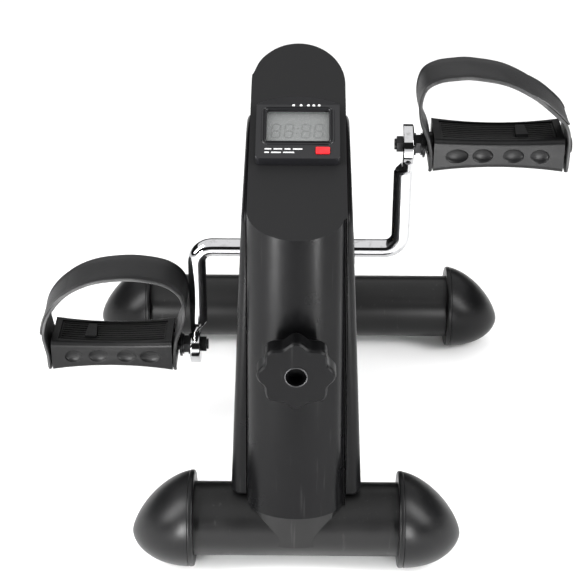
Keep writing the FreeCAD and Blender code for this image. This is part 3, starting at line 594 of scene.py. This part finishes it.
def make_strap(side):
    rings, lays = strap_rings(STRAP_LINES[side], STRAP_HALF, STRAP_T, (0.0, 0.0), 0.0, 1.0)
    verts, faces = skin(rings)
    strap = new_piece("foot_strap_" + side, verts, faces, rubber, 40.0, lays)
    cut_round(strap, 0.080, 0.100, 0.00935)
    cut_round(strap, 0.185, 0.200, 0.00435)
    place_on_pedal(strap, side)
    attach(strap, "strap_body_" + side)
    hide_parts("strap_" + side)
    rings, lays = strap_rings(STRAP_LINES[side], STRAP_HALF - 0.5, 1.7, (-0.4, 2.0), 0.62, 0.82,
                              (False, True))
    verts, faces = skin(rings)
    lap = new_piece("strap_lap_" + side, verts, faces, rubber, 40.0, lays)
    place_on_pedal(lap, side)
    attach(lap, "strap_body_" + side)


for side in ("left", "right"):
    make_strap(side)


# ------------------------------------------------------------------ console details, drawn flat
# (X across, Y up the slope, Z out of it, millimetres) and set on the facet
FACET_TURN = Matrix.Rotation(FACET, 4, "X")


def on_facet(points):
    place = Matrix.Translation(FACET_POINT) @ FACET_TURN
    return [place @ (Vector(p) * MM) for p in points]


def rounded_rect(width, height, radius, z, x=0.0, v=0.0, steps=6):
    ring = []
    for cx, cv, start in ((1, 1, 0), (-1, 1, 90), (-1, -1, 180), (1, -1, 270)):
        for k in range(steps + 1):
            a = math.radians(start + 90.0 * k / steps)
            ring.append((x + cx * (width / 2 - radius) + radius * math.cos(a),
                         v + cv * (height / 2 - radius) + radius * math.sin(a), z))
    return ring


CASE_TOP = 7.0                  # height of the case above the facet
WINDOW = (41.8, 27.3, 2.7)      # width, height and centre of the opening
KNOB_FACE_Y = -194.0
RING_RADIUS = 7.3
RING_BEAD = 0.45                # radius of the ring's own section
TONGUE_HALF = 4                 # half the width of the tongue behind the shells' joint


def console_bezel():
    """Raised rounded ridge, a groove outside it and a slope down to the window."""
    width, height, v = WINDOW
    profile = [(7.4, -0.25), (7.2, 0.10), (6.5, 0.55), (5.4, 0.75), (4.6, 0.55), (4.1, 0.05),
               (3.6, 0.05), (3.1, 0.60), (2.4, 0.95), (1.7, 0.80), (0.9, 0.10), (0.1, -0.9),
               (0.1, -1.1), (7.2, -0.3)]
    rings = []
    for grow, rise in profile:
        ring = rounded_rect(width + grow, height + grow, 1.2 + grow / 2, CASE_TOP + rise, 0, v)
        rings.append(on_facet(ring))
    verts, faces = skin(rings, closed_path=True)
    obj = new_piece("console_bezel", verts, faces, console_mat, 50.0)
    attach(obj, "base")


console_bezel()


def knob_ring():
    """Thin turned ring round the mouth of the knob's recess."""
    rings = []
    for k in range(48):
        a = TAU * k / 48
        ring = []
        for n in range(8):
            b = TAU * n / 8
            r = RING_RADIUS + RING_BEAD * math.cos(b)
            ring.append(Vector((r * math.sin(a), KNOB_FACE_Y - RING_BEAD * math.sin(b),
                                AXLE_Z / MM + r * math.cos(a))) * MM)
        rings.append(ring)
    verts, faces = skin(rings, closed_path=True)
    obj = new_piece("knob_ring", verts, faces, ring_steel, 60.0)
    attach(obj, "knob")


knob_ring()


def seam_tongue():
    """Tongue behind the joint of the two shells, up the lower part of the back."""
    path = [((169.4, 63.5), (168.1, 63.5)), ((169.4, 76.6), (168.1, 76.6)),
            ((167.7, 81.8), (166.6, 81.3)), ((140.5, 130.8), (139.4, 130.2))]
    rings = []
    for outer, inner in path:
        corners = ((-TONGUE_HALF, inner), (TONGUE_HALF, inner),
                   (TONGUE_HALF, outer), (-TONGUE_HALF, outer))
        rings.append([Vector((x, y, z)) * MM for x, (y, z) in corners])
    verts, faces = skin(rings)
    obj = new_piece("seam_tongue", verts, faces, shell)
    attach(obj, "base")


seam_tongue()

# the seven segments of a digit: column, row, and whether the bar lies flat
SEGMENTS = ((0, 1, 1), (1, 0.5, 0), (1, -0.5, 0), (0, -1, 1), (-1, -0.5, 0), (-1, 0.5, 0), (0, 0, 1))
DIGIT_SPOTS = (-14.6, -6.0, 5.4, 14.0)
DIGIT_LOW = 3.22
DIGIT_HIGH = 3.32
DIGIT_LEAN = 0.08
DIGIT_DROP = 1.6                # how far the row sits below the window's centre


def lcd_digits():
    """Four unlit seven-segment digits and a colon, a hair above the panel."""
    verts = []
    faces = []

    def bar(cx, cv, long_way, thick, flat):
        half = long_way / 2
        t = thick / 2
        outline = [(-half, 0), (-half + t, t), (half - t, t), (half, 0), (half - t, -t),
                   (-half + t, -t)]
        if not flat:
            outline = [(b, a) for a, b in outline]
        start = len(verts)
        for z in (DIGIT_LOW, DIGIT_HIGH):
            for a, b in outline:
                lean = (cv + b) * DIGIT_LEAN
                verts.append((cx + a + lean, cv + b + WINDOW[2] - DIGIT_DROP, z))
        faces.append(tuple(start + 6 + k for k in range(6)))
        faces.append(tuple(start + 5 - k for k in range(6)))
        for k in range(6):
            n = (k + 1) % 6
            faces.append((start + k, start + n, start + 6 + n, start + 6 + k))

    for cx in DIGIT_SPOTS:
        for x, v, flat in SEGMENTS:
            bar(cx + x * 2.7, v * 6.0, 4.8 if flat else 5.4, 1.3, flat)
    for v in (-2.2, 2.2):
        bar(-0.3, v, 1.7, 1.5, True)
    obj = new_piece("lcd_digits", on_facet(verts), faces, ghost)
    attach(obj, "base")


lcd_digits()


DOT_SPOTS = (-3.0, 2.0, 7.0, 10.6, 14.2)
DASH_ROWS = ((-18.3, (4.6, 5.8, 4.2, 6.4)), (-21.3, (3.0, 6.6, 7.4)))
DASH_START = -22.0
DASH_GAP = 1.4


def console_marks():
    """Plain raised dots and dashes where a legend would be."""
    verts = []
    faces = []
    spots = [(x, 20.9, 1.9, 1.9) for x in DOT_SPOTS]
    for v, widths in DASH_ROWS:
        x = DASH_START
        for w in widths:
            spots.append((x + w / 2, v, w, 1.1))
            x += w + DASH_GAP
    for x, v, w, h in spots:
        start = len(verts)
        low = rounded_rect(w, h, min(w, h) * 0.35, CASE_TOP - 0.05, x, v, 3)
        high = rounded_rect(w - 0.1, h - 0.1, min(w, h) * 0.3, CASE_TOP + 0.12, x, v, 3)
        piece, sides = skin([low, high])
        verts.extend(piece)
        faces.extend(tuple(start + k for k in f) for f in sides)
    obj = new_piece("console_marks", on_facet(verts), faces, marks)
    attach(obj, "base")


console_marks()
